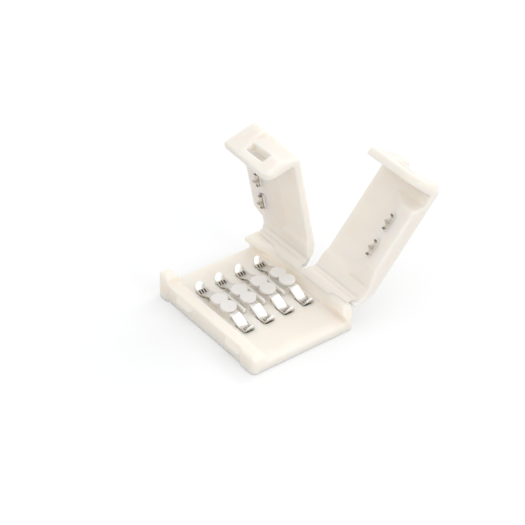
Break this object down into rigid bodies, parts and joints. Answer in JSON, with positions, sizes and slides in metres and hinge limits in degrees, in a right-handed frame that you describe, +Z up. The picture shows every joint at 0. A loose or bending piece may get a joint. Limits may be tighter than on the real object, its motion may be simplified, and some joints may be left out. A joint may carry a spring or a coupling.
{
  "type": "led strip connector",
  "caption": "Open solderless clip for a light strip: ivory tray with sprung contacts across it and hinged latch lids at its edge.",
  "frame": {"origin": "centre of the tray's flat underside", "axes": "+Z up out of the tray, +X from the latch wall to the hinge wall, +Y along the strip towards the rear lid's end"},
  "size_m": [0.0242, 0.0164, 0.0177],
  "materials": {
    "ivory_plastic": "satin moulded, ivory white",
    "lid_plastic": "satin moulded, ivory white, slightly translucent",
    "tinned_metal": "bright tin plate",
    "grip_metal": "stamped, dull bronze tint"
  },
  "bodies": {
    "base": {"base_tray": "ivory_plastic", "contact_1": "tinned_metal", "contact_2": "tinned_metal", "contact_3": "tinned_metal", "contact_4": "tinned_metal"},
    "rear_lid_body": {"rear_lid": "lid_plastic", "rear_grip_1": "grip_metal", "rear_grip_2": "grip_metal"},
    "front_lid_body": {"front_lid": "lid_plastic", "front_grip_1": "grip_metal", "front_grip_2": "grip_metal"}
  },
  "joints": [
    {"name": "rear_lid_hinge", "type": "hinge", "parent": "base", "child": "rear_lid_body", "pos_m": [0.0068, 0.00415, 0.0028], "axis": [0, 1, 0], "range_deg": [-78, 97]},
    {"name": "front_lid_hinge", "type": "hinge", "parent": "base", "child": "front_lid_body", "pos_m": [0.0068, -0.00415, 0.0028], "axis": [0, 1, 0], "range_deg": [-130.4, 44.6]}
  ]
}
